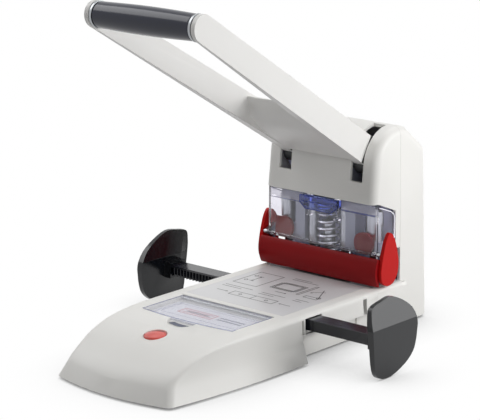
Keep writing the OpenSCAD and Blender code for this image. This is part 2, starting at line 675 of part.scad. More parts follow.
axle_x = plate_in_x + plate_thick + 2.2;
module axle() color(steel) difference() {
  rod_x(-axle_x, axle_x, axle_y, axle_z, axle_d);
  both_sides() difference() {
    rod_x(axle_x - 1.6, axle_x - 0.6, axle_y, axle_z, axle_d + 2);
    rod_x(axle_x - 3, axle_x + 1, axle_y, axle_z, axle_d - 1);
  }
}
module axle_clips() color(dark) both_sides() difference() {
  rod_x(axle_x - 1.5, axle_x - 0.7, axle_y, axle_z, axle_d + 4);
  rod_x(0, axle_x + 1, axle_y, axle_z, axle_d - 1 + 0.1);
  box(0, axle_x + 1, axle_y - 1.5, axle_y + 1.5, axle_z - 20, axle_z);
}
module axle_spacers() color("#B08D57") both_sides() difference() {
  rod_x(arm_x + 0.2, plate_in_x - 0.1, axle_y, axle_z, axle_d + 5);
  rod_x(0, 60, axle_y, axle_z, axle_d + 0.04);
}

// ---- lever, drawn along -Y from the axle and then turned up ----
// Moves a lever part from its own level frame to the rest pose.
module at_lever() { translate([0, axle_y, axle_z]) rotate([-lever_angle, 0, 0]) children(); }

arm_start = crown_r - 0.5;
arm_in_x = arm_x - arm_t;
function lever_lerp(u, a, b) = a + (b - a) * (u - arm_start) / (lever_len - arm_start);

// Side view of an arm: straight taper with a round end at the grip.
module arm_side() {
  r = arm_end_depth / 2;
  polygon(concat([[-4, arm_depth / 2], [-4, -arm_depth / 2]], arc([-lever_len, 0], r, -90, -270, 20)));
}
module arm_plan() polygon([[arm_x - 0.2, -2], [arm_in_x + 0.2, -2], [arm_in_x + 0.2, -arm_start],
    [arm_end_x - arm_end_t, -lever_len],
  [arm_end_x - arm_end_t, -big], [arm_end_x + 1, -big], [lever_lerp(lever_len + 20, arm_x,
      arm_end_x), -lever_len - 20],
  [arm_x - 0.2, -arm_start]]);

web_rear_r = crown_r + 3;
web_end = 87;
web_top = 7.5;
module lever_web() difference() {
  along_x(-arm_end_x, arm_end_x) polygon(concat(
    [[-web_rear_r + 2, web_top + 1.5]], arc([0, 0], web_rear_r, 166, 199, 8),
    [[-49, -10], [-60, -9], [-69, -7.2], [-76, -4.8], [-81, -1.5], [-84.6, 2], [-87, 5.6], [-87.6, 6.8],
     [-87, web_top], [-70, web_top + 1.6]]));
  // hollow between the arms, open on top like a moulding
  along_x(-arm_in_x + 4, arm_in_x - 4) polygon(
    [[-web_rear_r - 3, web_top + 9], [-web_rear_r - 3, -6.5], [-49, -6.5], [-60, -5.5], [-68, -4.2],
     [-74, -1.8], [-79, 2.5], [-82, web_top - 2], [-82, web_top + 9]]);
}

module lever() color(white) difference() {
  union() {
    at_lever() {
      both_sides() intersection() {
        along_x(0, arm_end_x + 2) arm_side();
        translate([0, 0, -20]) linear_extrude(40) arm_plan();
      }
      intersection() {
        lever_web();
        translate([0, 0, -20]) linear_extrude(40) polygon([
          [-arm_x + 1, -arm_start], [-lever_lerp(web_end, arm_x, arm_end_x) + 1, -web_end - 2],
          [lever_lerp(web_end, arm_x, arm_end_x) - 1, -web_end - 2], [arm_x - 1, -arm_start]]);
      }
    }
    // hubs round the axle with a cheek for the drive pin
    both_sides() {
      rod_x(arm_in_x, arm_x, axle_y, axle_z, 28);
      rod_x(arm_in_x, arm_x, drive_y, drive_z, 14.6);
      along_x(arm_in_x, arm_x) polygon([[axle_y, axle_z + 12], [drive_y, drive_z + 6],
        [drive_y, drive_z - 6], [axle_y, axle_z - 12]]);
    }
  }
  rod_x(-60, 60, axle_y, axle_z, axle_d + 2 * run);
  rod_x(-arm_x + 1, arm_x - 1, drive_y, drive_z, drive_pin_d + 0.02);
  at_lever() rod_x(-arm_end_x + 0.8, arm_end_x - 0.8, -lever_len, 0, 6.04);
}

module drive_pin() color(steel) rod_x(-arm_x + 1.2, arm_x - 1.2, drive_y, drive_z, drive_pin_d);

collar_x = arm_end_x - arm_end_t - 0.9;           // the arms narrow towards the tower there
collar_t = 1.9;
grip_half = collar_x - collar_t;
grip_r = arm_end_depth / 2 + 0.4;
module grip() color(navy) at_lever() translate([-grip_half, -lever_len, 0]) rotate([0, 90,
    0]) difference() {
  rotate_extrude() polygon(concat([[0, 0]], arc([grip_r - 2, 1.2], 1.2, -90, 0, 4),
    [for (i = [0:10]) [grip_r - 0.8 + 0.8 * sin(180 * i / 10), 2 + (2 * grip_half - 4) * i / 10]],
    arc([grip_r - 2, 2 * grip_half - 1.2], 1.2, 0, 90, 4), [[0, 2 * grip_half]]));
  translate([0, 0, -1]) cylinder(d = 6.04, h = 3 * grip_half);
}
module grip_rod() color(steel) at_lever() rod_x(-arm_end_x + 1, arm_end_x - 1, -lever_len, 0, 6);
module grip_collars() color("#A8ABAE") at_lever() both_sides() difference() {
  rod_x(grip_half + 0.1, collar_x, -lever_len, 0, 2 * grip_r - 0.8);
  rod_x(0, 60, -lever_len, 0, 6.04);
}

// ---- hold-down bar ----
bar_z = table_top + 1.4;
bar_back_y = hood_y - 0.6;
bar_bulge = 3.2;
bar_thin = 1.8;                                 // thickness at its top edge
bar_arc_r = (pow(bar_h / 2, 2) + pow(bar_bulge, 2)) / (2 * bar_bulge);
bar_arc_y = bar_back_y - bar_thin - bar_bulge + bar_arc_r;
bar_arc_a = asin(bar_h / 2 / bar_arc_r);
module hold_down_bar() color("#A01818") {
  along_x(-bar_w / 2, bar_w / 2) polygon(concat([[bar_back_y, bar_z], [bar_back_y, bar_z + bar_h]],
    arc([bar_arc_y, bar_z + bar_h / 2], bar_arc_r, 180 - bar_arc_a, 180 + bar_arc_a, 14)));
  box(-head_x + 4, head_x - 4, bar_back_y - 0.5, punch_y - 9, bar_z, bar_z + 2);
}

cap_t = 3;
cap_outline = [[89.1, 75.6], [85, 70.5], [82.2, 62], [80.3, 54], [79.4, 46.4], [81, 40], [87, 36.4],
               [93.5, 37.3], [98.6, 42.5], [100.4, 50], [99.4, 58], [96.6, 67], [93.5, 73]];
module end_cap_right() color(red) difference() {
  translate([0, hood_y - 82, table_top - 35]) along_x(bar_w / 2 + 0.02, bar_w / 2 + cap_t)
    polygon(smooth_loop(cap_outline, 3));
  box(0, tongue_x1 + gap, tongue_y - 1.5 - 0.25, tongue_y + 1.5 + 0.25, 0, tongue_top + 0.1);
}
module end_cap_left() mirror([1, 0, 0]) end_cap_right();

module hold_down_pads() color(clear, 0.5) both_sides()
  box(punch_x - 10, punch_x + 7, bar_back_y - 3, punch_y - 9.5, bar_z - 0.9, bar_z - 0.02);

// ---- hood ----
hood_back_y = hood_y + 22;
hood_x = hood_w / 2;
module hood() color(clear, 0.5) difference() {
  union() {
    intersection() {
      linear_extrude(big) difference() {
        polygon(rounded(-hood_x, hood_x, hood_y, hood_back_y + 20, 3));
        polygon(rounded(-hood_x + hood_wall, hood_x - hood_wall, hood_y + hood_wall,
            hood_back_y + 30, 1.2));
      }
      along_x(-hood_x - 1, hood_x + 1) polygon(concat([[hood_y - 1, hood_bottom], [hood_y - 1, hood_top],
        [hood_y + 1.5, hood_top + 0.6]],
        arc([hood_back_y - 3, hood_top - 9.4], 3, 70, 0, 5),
        [[hood_back_y, hood_top - 26], [hood_back_y - 3, hood_top - 32], [hood_back_y - 10,
            hood_bottom]]));
    }
    both_sides() rod_x(ear_x0, hood_x, hinge_y, hinge_z, 2 * ear_r);
    // rib behind the front wall
    both_sides() box(latch_w / 2 + 0.5, hood_x - hood_wall + 0.1, hood_y + hood_wall - 0.1,
        hood_y + hood_wall + 1.4,
        latch_z + 0.6, latch_z + 1.8);
    // seats of the latch springs
    both_sides() box(11, 15, hood_y + hood_wall - 0.1, latch_foot_y + 3, latch_z - 8, latch_z - 6.8);
  }
  rod_x(-60, 60, hinge_y, hinge_z, hood_pin_d + 2 * run);
  // slots of the latch feet
  both_sides() box(10.2, 15.8, hood_y - 1, hood_y + hood_wall + 1, latch_z + 0.2, latch_z + 5.2);
}

module hood_pins() color(steel) both_sides() rod_x(ear_x0 + 0.4, tongue_x0 + 2.4, hinge_y, hinge_z,
    hood_pin_d);

latch_z = hood_top - 8;
latch_foot_y = hood_y + hood_wall + 0.2;
module hood_latch() color("#2A4AA0") {
  translate([0, hood_y - 0.1, 0]) rotate([90, 0, 0]) linear_extrude(3.4) polygon([
    [-latch_w / 2, latch_z + 8], [-latch_w / 2, latch_z + 2.6], [-latch_w / 2 + 5, latch_z - 1.5],
    [latch_w / 2 - 5, latch_z - 1.5], [latch_w / 2, latch_z + 2.6], [latch_w / 2, latch_z + 8]]);
  both_sides() {
    box(10.5, 15.5, hood_y - 0.2, latch_foot_y + 2.8, latch_z + 2, latch_z + 5);
    box(10.5, 15.5, latch_foot_y, latch_foot_y + 2.8, latch_z + 2, latch_z + 7.6);
  }
}

module latch_spring() color(steel) both_sides()
  coil(13, latch_foot_y + 1.5, latch_z - 6.7, latch_z + 1.9, 2.6, 0.5, 6, 12, 5);

// ---- tower ----
tower_fillet = 6;
function tower_half(z) = tower_w / 2 - tower_draft * (z - base_z);
panel_y = hood_y - 2.8;
panel_z = hood_top + 1.6;

// Outline of the front cover in Y and Z, moved in by d; back and low run past the cuts.
function front_outline(d, back, low) = concat(
  [[back, low], [back, axle_z + crown_r - d]], arc([axle_y, axle_z], crown_r - d, 92, 176, 14),
  [[panel_y + 1.4 + d, axle_z - 10], [panel_y + d, panel_z], [panel_y + d, low]]);

back_corner = [134.4, 126.4];
back_corner_r = 7;
// Outline of the rear cover, moved in by d.
function rear_outline(d, front, low) = concat(
  [[rear_y - d, low], [rear_y - d, low + 12]], arc(back_corner, back_corner_r - d, 2, 54, 6),
  arc([axle_y, axle_z], crown_r - d, 72, 88, 3), [[front, axle_z + crown_r - d], [front, low]]);

// Closed form over the tower's width with rounded side edges; inset is the wall for the hollow.
module tower_form(kind, edge, low, inset) {
  r = tower_fillet - inset;
  steps = [for (a = [90, 70, 50, 30, 12, 0]) a];
  sides = concat([for (a = steps) [-1, a]], [for (i = [len(steps) - 1:-1:0]) [1, steps[i]]]);
  loft([for (s = sides) let (d = inset + r * (1 - cos(s[1])),
      outline = kind == "front" ? front_outline(d, edge, low) : rear_outline(d, edge, low))
    [for (p = outline) [s[0] * (tower_half(p[1]) - inset - r * (1 - sin(s[1]))), p[0], p[1]]]]);
}

slot_gap = 0.6;
strip_z = table_top + 25;                       // the front cover's sides reach down behind the hood
module tower_front() color(white) difference() {
  tower_form("front", seam_y - seam / 2, strip_z, 0);
  tower_form("front", seam_y + 5, strip_z - 8, wall);
  // lower edge: level over the panel, falling over the hood's sides
  along_x(-60, 60) polygon([[0, 0], [hood_back_y + 0.6, 0], [hood_back_y + 0.6, hood_top - 6],
    [hood_y + 2, panel_z + 0.5], [hood_y - 5, panel_z], [0, panel_z]]);
  // slots of the lever arms
  both_sides() box(arm_in_x - slot_gap, arm_x + slot_gap, 0, axle_y - 1.5,
                   axle_z - arm_depth / 2 + 0.8, big);
}

module tower_rear() color(white) difference() {
  tower_form("rear", seam_y + seam / 2, base_z, 0);
  tower_form("rear", seam_y - 5, base_z - 5, wall);
  box(-tray_x - 0.6, tray_x + 0.6, rear_y - 8, big, -1, tray_top + 0.6);
}

base_plate();
rubber_feet();
base_chassis();
chip_tray();
table_cover();
label_card();
window_flap();
flap_pin();
table_sheet();
push_button();
button_spring();
rack_guide();
pinion();
pinion_pin();
rack_right();
rack_left();
paddle_right();
paddle_left();
die_plate();
back_stop();
guide_plate();
guide_rods();
spring_post();
return_spring();
side_plates();
axle();
axle_spacers();
axle_clips();
crosshead();
crosshead_bushes();
punch_right();
punch_left();
punch_keys();
lever();
drive_pin();
grip();
grip_rod();
grip_collars();
hold_down_bar();
end_cap_right();
end_cap_left();
hold_down_pads();
hood();
hood_pins();
hood_latch();
latch_spring();
tower_front();
tower_rear();
cover_screws();
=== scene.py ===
# %% [markdown]
# # A two-hole lever punch
# The machine's plates, hinges and racks come from the frame at their real size. This lesson gives
# each of them the surface of the real thing: moulded ABS, ground steel, clear polycarbonate, red and
# navy gloss plastic. A shell whose edges have to be rounder than the frame's gets a smoothed copy
# that stands in for it, and what is printed on the machine is a thin surface worked out with numpy.

# %% Load the frame
import json
import math

import bmesh
import bpy
import numpy as np
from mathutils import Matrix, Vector


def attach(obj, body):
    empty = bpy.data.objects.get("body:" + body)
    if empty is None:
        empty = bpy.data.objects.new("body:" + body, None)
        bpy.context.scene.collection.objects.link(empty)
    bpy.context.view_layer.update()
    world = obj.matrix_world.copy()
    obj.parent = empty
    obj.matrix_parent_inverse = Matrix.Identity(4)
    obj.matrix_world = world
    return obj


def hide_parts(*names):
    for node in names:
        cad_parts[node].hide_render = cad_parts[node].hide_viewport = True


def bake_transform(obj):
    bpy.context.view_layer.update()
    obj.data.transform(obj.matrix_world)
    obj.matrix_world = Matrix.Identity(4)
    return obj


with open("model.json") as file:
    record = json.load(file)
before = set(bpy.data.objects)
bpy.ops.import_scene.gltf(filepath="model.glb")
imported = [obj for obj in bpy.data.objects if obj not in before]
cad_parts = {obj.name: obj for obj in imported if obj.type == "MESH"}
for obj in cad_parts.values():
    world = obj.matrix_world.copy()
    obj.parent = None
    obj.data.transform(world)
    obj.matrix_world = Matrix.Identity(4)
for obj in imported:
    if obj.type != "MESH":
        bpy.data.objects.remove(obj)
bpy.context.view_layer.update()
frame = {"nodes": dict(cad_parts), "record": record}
nodes = frame["nodes"]
body_of_node = {node: body for body, held in frame["record"]["behaviour"]["bodies"].items()
                for node in held}
MM = 0.001
from_frame = len(bpy.data.materials)      # plain colours of the solids, not finishes

# %% [markdown]
# The camera stands to the right of the nose and a little above it, and looks down by 14 degrees.
# Its height, distance and lens were worked out from the straight edges of the machine, so the lens
# is long and the machine hardly narrows with distance.

# %% Camera
EYE = Vector((903.83, -1049.53, 445.58)) * MM
TURN = math.radians(40.953)
DIP = math.radians(14.011)
LENS = 153.127
SENSOR_WIDTH = 36.0

camera_data = bpy.data.cameras.new("camera")
camera_data.sensor_width = SENSOR_WIDTH
camera_data.lens = LENS
camera = bpy.data.objects.new("camera", camera_data)
camera.location = EYE
camera.rotation_euler = (math.pi / 2 - DIP, 0.0, TURN)
bpy.context.scene.collection.objects.link(camera)
bpy.context.scene.camera = camera
bpy.context.scene.view_settings.view_transform = "Standard"
print("camera: %.2f m from the machine" % EYE.length)

# %% [markdown]
# The finishes, the paper and the world are all trees of shader nodes. Three helpers keep them short:
# one turns an sRGB hex value into linear light, one adds a node with its settings and links, and one
# tells the rays that look for the picture from those that only carry light between surfaces.

# %% Shading helpers
WHITE = (1.0, 1.0, 1.0, 1.0)


def linear(hex_value):
    """sRGB hex string to linear colour: each channel goes through the inverse of the sRGB curve."""
    channels = np.array([int(hex_value[i:i + 2], 16) for i in (1, 3, 5)]) / 255.0
    low = channels / 12.92
    high = ((channels + 0.055) / 1.055) ** 2.4
    return tuple(np.where(channels <= 0.04045, low, high)) + (1.0,)


def add(tree, kind, settings=None, inputs=None):
    """Adds a node; an input given as (node, output) is linked and any other is a plain value."""
    made = tree.nodes.new(kind)
    for name, value in (settings or {}).items():
        setattr(made, name, value)
    for name, value in (inputs or {}).items():
        if isinstance(value, tuple) and len(value) == 2 and hasattr(value[0], "outputs"):
            tree.links.new(value[0].outputs[value[1]], made.inputs[name])
        else:
            made.inputs[name].default_value = value
    return made


def looking_ray(tree):
    """1 for a ray that leads to the eye, straight, through a clear part or by way of a mirror, and 0
    for all others: the highest of the three flags."""
    rays = add(tree, "ShaderNodeLightPath")
    direct = add(tree, "ShaderNodeMath", {"operation": "MAXIMUM"},
                 {0: (rays, "Is Camera Ray"), 1: (rays, "Is Transmission Ray")})
    return add(tree, "ShaderNodeMath", {"operation": "MAXIMUM"},
               {0: (direct, "Value"), 1: (rays, "Is Glossy Ray")})


# %% [markdown]
# A studio sets a white machine among soft lamps, so that each of its faces gets a tone of its own. A
# square softbox stands close on the right: it lights the tower's side brightly and falls off towards
# the nose. Broad lamps stand further off on the left, at the front right and overhead. They are suns
# with a wide disc, because their light is even over the whole machine. A low card stands behind on
# the right and is only mirrored. The world adds little light, so the tower's front stays in half
# shadow and its relief shows.

# %% Lamps
MIDDLE = (0.0, 0.0, 0.08)
OVER_TABLE = (0.0, 0.05, 0.10)


def lamp(name, place, aim, size, power):
    """Adds a rectangular area lamp of a size in metres, turned towards a point."""
    data = bpy.data.lights.new(name, "AREA")
    data.shape = "RECTANGLE"
    data.size, data.size_y = size
    data.energy = power
    lamp_object = bpy.data.objects.new(name, data)
    lamp_object.location = place
    lamp_object.rotation_euler = (Vector(aim) - Vector(place)).to_track_quat("-Z", "Y").to_euler()
    bpy.context.scene.collection.objects.link(lamp_object)
    return lamp_object


def wide_sun(name, towards, spread_deg, level):
    """Adds a lamp at a great distance: level is how brightly it lights a white face turned to it."""
    data = bpy.data.lights.new(name, "SUN")
    data.angle = math.radians(spread_deg)
    data.energy = level * math.pi
    sun = bpy.data.objects.new(name, data)
    sun.rotation_euler = Vector(towards).to_track_quat("Z", "Y").to_euler()
    bpy.context.scene.collection.objects.link(sun)


lamp("right_softbox", (0.62, 0.27, 0.33), OVER_TABLE, (0.35, 0.35), 2.75)
wide_sun("left_softbox", (-0.70, -0.20, 0.65), 40.0, 0.32)
wide_sun("front_right_card", (0.75, -0.55, 0.25), 40.0, 0.15)
wide_sun("overhead_softbox", (-0.15, 0.35, 0.95), 50.0, 0.38)
reflector = lamp("low_reflector_card", (1.25, 1.4, 0.32), MIDDLE, (1.4, 0.6), 7.0)
reflector.visible_diffuse = False        # only the glossy faces mirror it

# %% [markdown]
# Around the machine the picture is plain white, and glossy and clear parts show that white too. The
# same white would flood the machine if it were also its light, so the world has two backgrounds: a
# white one for rays that look for the picture and a dim one that fills the shadows.

# %% World
WORLD_FILL = 0.06

world = bpy.data.worlds.new("studio")
bpy.context.scene.world = world
world.use_nodes = True
world_tree = world.node_tree
fill = world_tree.nodes["Background"]
fill.inputs["Color"].default_value = WHITE
fill.inputs["Strength"].default_value = WORLD_FILL
backdrop = add(world_tree, "ShaderNodeBackground", inputs={"Color": WHITE, "Strength": 1.0})
surroundings = add(world_tree, "ShaderNodeMixShader", inputs={
    0: (looking_ray(world_tree), "Value"), 1: (fill, "Background"), 2: (backdrop, "Background")})
world_tree.links.new(surroundings.outputs["Shader"], world_tree.nodes["World Output"].inputs["Surface"])
print("world: white backdrop, fill of", WORLD_FILL)

# %% [markdown]
# The machine stands on matt white paper. In the picture the paper is as white as the backdrop, with
# a painted soft shadow close around the machine, and to the machine it is a grey sheet that throws
# little light back. So it has two shaders as well: a glow of 1 that fades where the paper is closed
# in, which paints the shadow, and a matt sheet. How closed in it is comes from ambient occlusion,
# raised to a power so that the painted shadow keeps close to the foot.

# %% Floor
FLOOR_HALF = 6.0              # far past the edges of the picture, in metres
PAPER_ROUGH = 0.9
COAT_ROUGH = 0.08             # a thin gloss on a duller surface
# the next three values shape the painted contact shadow on the paper
CONTACT_REACH = 45 * MM       # how far the soft shadow reaches from where the machine stands
CONTACT_DEPTH = 0.92          # how dark it is right under the edge
CONTACT_POWER = 1.7           # how quickly it fades


def finish(name, colour, rough, metal=0.0, ior=1.5, coat=0.0, shine=0.5):
    """A material with one Principled shader of fixed values; returns it with its tree and shader."""
    material = bpy.data.materials.new(name)
    material.use_nodes = True
    tree = material.node_tree
    shader = tree.nodes["Principled BSDF"]
    shader.inputs["Base Color"].default_value = linear(colour)
    shader.inputs["Roughness"].default_value = rough
    shader.inputs["Metallic"].default_value = metal
    if metal == 0.0:
        shader.inputs["IOR"].default_value = ior
        shader.inputs["Specular IOR Level"].default_value = shine
    if coat:
        shader.inputs["Coat Weight"].default_value = coat
        shader.inputs["Coat Roughness"].default_value = COAT_ROUGH
    return material, tree, shader


paper, paper_tree, paper_shader = finish("white_backdrop_paper", "#B4B4B4", PAPER_ROUGH, shine=0.0)
# painted shadow: the paper's glow is lowered where ambient occlusion finds it closed in
openness = add(paper_tree, "ShaderNodeAmbientOcclusion", {"samples": 6}, {"Distance": CONTACT_REACH})
closed_in = add(paper_tree, "ShaderNodeMath", {"operation": "SUBTRACT"}, {0: 1.0, 1: (openness, "AO")})
close_by = add(paper_tree, "ShaderNodeMath", {"operation": "POWER"},
               {0: (closed_in, "Value"), 1: CONTACT_POWER})
shadow = add(paper_tree, "ShaderNodeMath", {"operation": "MULTIPLY"},
             {0: (close_by, "Value"), 1: CONTACT_DEPTH})
paper_level = add(paper_tree, "ShaderNodeMath", {"operation": "SUBTRACT"}, {0: 1.0, 1: (shadow, "Value")})
paper_glow = add(paper_tree, "ShaderNodeEmission", inputs={"Strength": (paper_level, "Value")})
paper_mix = add(paper_tree, "ShaderNodeMixShader", inputs={
    0: (looking_ray(paper_tree), "Value"), 1: (paper_shader, "BSDF"), 2: (paper_glow, "Emission")})
paper_tree.links.new(paper_mix.outputs["Shader"], paper_tree.nodes["Material Output"].inputs["Surface"])

floor_mesh = bpy.data.meshes.new("floor")
floor_corners = [(FLOOR_HALF * u, FLOOR_HALF * v, 0.0) for u, v in ((-1, -1), (1, -1), (1, 1), (-1, 1))]
floor_mesh.from_pydata(floor_corners, [], [(0, 1, 2, 3)])
floor_mesh.materials.append(paper)
floor = bpy.data.objects.new("floor", floor_mesh)
bpy.context.scene.collection.objects.link(floor)
print("floor: %.0f m square, shadow reaches %.0f mm" % (2 * FLOOR_HALF, CONTACT_REACH / MM))

# %% [markdown]
# No real surface has one colour and one gloss all over. A moulding varies slowly where the plastic
# flowed, and its grain scatters the lamps. Three patterns on Object coordinates give that: a slow
# change of colour, a fine change of roughness and a bump. The real grain is a tenth of a millimetre
# or less, which a picture of the whole machine can't show, so each grain is drawn at 0.3 to 4 mm.

# %% Finishes with a grain
PATCH = 40 * MM               # size of the slow change of colour


def textured(name, colour, shade, rough, grain_mm, bump_mm, rough_swing=0.06,
             stretch=(1.0, 1.0, 1.0), **more):
    """A finish whose colour drifts between colour and shade over a patch, and whose roughness swings
    by rough_swing over grain_mm, with a bump of the same grain that is bump_mm high."""
    material, tree, shader = finish(name, colour, rough, **more)
    place = add(tree, "ShaderNodeTexCoord")
    turned = add(tree, "ShaderNodeMapping", inputs={"Vector": (place, "Object"), "Scale": stretch})
    patches = add(tree, "ShaderNodeTexNoise", inputs={
        "Vector": (turned, "Vector"), "Scale": 1.0 / PATCH, "Detail": 3.0})
    drift = add(tree, "ShaderNodeMix", {"data_type": "RGBA"})
    tree.links.new(patches.outputs["Fac"], drift.inputs["Factor"])
    drift.inputs["A"].default_value = linear(colour)
    drift.inputs["B"].default_value = linear(shade)
    tree.links.new(drift.outputs["Result"], shader.inputs["Base Color"])
    grain = add(tree, "ShaderNodeTexNoise", inputs={
        "Vector": (turned, "Vector"), "Scale": 1.0 / (grain_mm * MM), "Detail": 4.0, "Roughness": 0.6})
    swing = add(tree, "ShaderNodeMapRange", inputs={
        "Value": (grain, "Fac"), "To Min": max(0.02, rough - rough_swing), "To Max": rough + rough_swing})
    tree.links.new(swing.outputs["Result"], shader.inputs["Roughness"])
    bump = add(tree, "ShaderNodeBump", inputs={
        "Height": (grain, "Fac"), "Distance": bump_mm * MM, "Strength": 0.6})
    tree.links.new(bump.outputs["Normal"], shader.inputs["Normal"])
    return material


# %% [markdown]
# The white covers come from a spark-eroded mould, which leaves them matt with a soft sheen on every
# rounded edge. The lever's arms have a smooth white enamel, a little brighter than the covers.
# The navy grip comes from a polished mould and mirrors its surroundings sharply, while the red parts
# are glossy only at a glance: their colour is strong because little white light is mirrored over it.

# %% Moulded and painted finishes
# spark-eroded ABS: even and matt
white_abs = textured("moulded_white_abs", "#EFEEEB", "#EAE9E5", 0.42, grain_mm=0.5, bump_mm=0.012)
# enamel: smooth and even
lever_enamel = textured("lever_white_enamel", "#F1F0EE", "#ECEBE8", 0.38, grain_mm=0.8, bump_mm=0.004)
# painted shade on the lever's hub: black, so that the slots in the tower look deep and shadowed
hub_painted_shade = textured("painted_shade_lever_hub", "#16181B", "#101214", 0.5, grain_mm=0.6, bump_mm=0.015)
# red ABS of the end caps: strong, with a weak and broad shine
red_gloss = textured("red_polished_abs", "#C81715", "#BC1313", 0.42, grain_mm=1.5, bump_mm=0.004,
                     shine=0.12)
# the same red with painted shade, deeper, for the bar between the caps, which lies in half shadow
bar_red_painted_shade = textured("painted_shade_bar_red_abs", "#981318", "#8A1014", 0.34, grain_mm=1.5, bump_mm=0.004,
                   shine=0.12)
# and darker still as painted shade, for the keys behind the hood, against the pale veil of the hood
key_red_painted_shade = textured("painted_shade_key_red_abs", "#8E0812", "#840710", 0.3, grain_mm=1.5, bump_mm=0.004,
                   shine=0.2)
# translucent ABS: light that scatters inside makes it paler than the other reds
button_red = textured("red_translucent_button", "#E0574C", "#D84A40", 0.3, grain_mm=0.8, bump_mm=0.004)
# polished ABS of the grip: near black, with clear reflections
navy_gloss = textured("navy_polished_abs", "#0D1734", "#0A122A", 0.17, grain_mm=2.0, bump_mm=0.006,
                      shine=0.45)
# moulded acetal of the racks: waxy black under a thin gloss
rack_acetal = textured("black_acetal", "#0B0D16", "#12141E", 0.25, grain_mm=1.0, bump_mm=0.004, coat=0.2)
# satin ABS of the paddles: charcoal with a broad sheen
paddle_abs = textured("charcoal_satin_abs", "#0C0F15", "#0A0D12", 0.2, grain_mm=0.6, bump_mm=0.004,
                      rough_swing=0.03, shine=0.4)
# grained ABS of the tray and guides: dull black
dark_abs = textured("black_textured_abs", "#1C1E21", "#17191C", 0.5, grain_mm=0.5, bump_mm=0.02)
# moulded rubber: dull, with no highlight
rubber = textured("black_rubber", "#1A1A1B", "#222223", 0.8, grain_mm=0.4, bump_mm=0.03)
# moulded acetal in its natural colour: creamy and waxy
acetal = textured("natural_acetal", "#E9E8E0", "#E2E1D8", 0.35, grain_mm=0.8, bump_mm=0.006)
# powder coat on the steel plates: grey and faintly rough
grey_paint = textured("grey_powder_coat", "#8C8F94", "#85888D", 0.45, grain_mm=0.5, bump_mm=0.015)
# painted shadow on the floor of the thumb notch, which lies in the shade of its walls
notch_painted_shadow = textured("painted_shadow_notch_floor", "#5A6072", "#4E5468", 0.4, grain_mm=0.8, bump_mm=0.004)
print("moulded and painted finishes, with the paper:", len(bpy.data.materials) - from_frame)

# %% [markdown]
# The punching parts are metal. Ground pins and plates have fine marks across them, so their grain is
# stretched. Plated wire and silvered collars are brighter, and castings and bronze bushes duller.

# %% Metal finishes
# ground and oiled steel: fine marks that run across
ground_steel = textured("ground_steel", "#B9BCC0", "#A8ABB0", 0.28, grain_mm=0.35, bump_mm=0.006,
                        metal=1.0, stretch=(1.0, 8.0, 1.0))
# drawn and plated spring wire: bright, with dark bands where it mirrors the shadow
plated_wire = textured("zinc_plated_wire", "#D9DBE0", "#C8CAD0", 0.25, grain_mm=0.6, bump_mm=0.004,
                       metal=1.0)
# rolled and passivated steel: pale and faintly blue
frame_zinc = textured("pale_passivated_steel", "#E6E6FF", "#DEDEFA", 0.42, grain_mm=0.8, bump_mm=0.01,
                      metal=0.85)
# blasted die casting: grey with a dull gleam
die_cast = textured("grey_die_casting", "#A6AAB6", "#9BA0AC", 0.42, grain_mm=0.6, bump_mm=0.015,
                    metal=0.5)
# sintered bronze: brown and porous
bronze = textured("sintered_bronze", "#B08D57", "#9C7A48", 0.45, grain_mm=0.3, bump_mm=0.015, metal=1.0)
# satin-plated collars: two bright rings at the ends of the grip
silver = textured("satin_silver", "#A8ABAE", "#9DA0A3", 0.3, grain_mm=0.3, bump_mm=0.004, metal=0.9)
print("finishes so far:", len(bpy.data.materials) - from_frame)

# %% [markdown]
# The hood and the latch are clear polycarbonate and blue translucent ABS, which bend what is seen
# through them, so they transmit. Light has to reach the parts behind a clear sheet almost unbent, or
# the room behind the hood would go dark, so rays that only carry light pass straight through, dyed.
# The window is too thin to bend anything: it is see-through by alpha, and more so face on.

# %% Clear finishes
def see_through(material, facing, grazing):
    """Alpha runs from facing where the surface is seen square on to grazing at its rim."""
    tree = material.node_tree
    rim = add(tree, "ShaderNodeLayerWeight", inputs={"Blend": 0.45})
    veil = add(tree, "ShaderNodeMapRange", inputs={
        "Value": (rim, "Facing"), "To Min": facing, "To Max": grazing})
    tree.links.new(veil.outputs["Result"], tree.nodes["Principled BSDF"].inputs["Alpha"])
    material.surface_render_method = "BLENDED"


def transmit(material, tint):
    """Bends what is seen through it, and lets shadow and diffuse rays pass straight, dyed by tint."""
    tree = material.node_tree
    shader = tree.nodes["Principled BSDF"]
    shader.inputs["Transmission Weight"].default_value = 1.0
    rays = add(tree, "ShaderNodeLightPath")
    carrying = add(tree, "ShaderNodeMath", {"operation": "MAXIMUM"},
                   {0: (rays, "Is Shadow Ray"), 1: (rays, "Is Diffuse Ray")})
    straight = add(tree, "ShaderNodeBsdfTransparent", inputs={"Color": linear(tint)})
    both = add(tree, "ShaderNodeMixShader", inputs={
        0: (carrying, "Value"), 1: (shader, "BSDF"), 2: (straight, "BSDF")})
    tree.links.new(both.outputs["Shader"], tree.nodes["Material Output"].inputs["Surface"])


# moulded polycarbonate: water clear with sharp reflections
clear_pc = textured("clear_polycarbonate", "#FBFAFE", "#F8F7FD", 0.05, grain_mm=4.0, bump_mm=0.002,
                    rough_swing=0.02, ior=1.45)
transmit(clear_pc, "#F6F6FC")
# translucent ABS: blue, and deeper where light crosses more of it
blue_clear = textured("blue_translucent_abs", "#A3B2F2", "#98A8EE", 0.12, grain_mm=1.5, bump_mm=0.003,
                      rough_swing=0.02, ior=1.5)
transmit(blue_clear, "#8FA2EA")
# rolled clear sheet over the label: a faint veil
window_pc = textured("clear_window_sheet", "#F2F3FA", "#ECEDF6", 0.12, grain_mm=4.0, bump_mm=0.002,
                     rough_swing=0.02, ior=1.45)
see_through(window_pc, 0.1, 0.4)
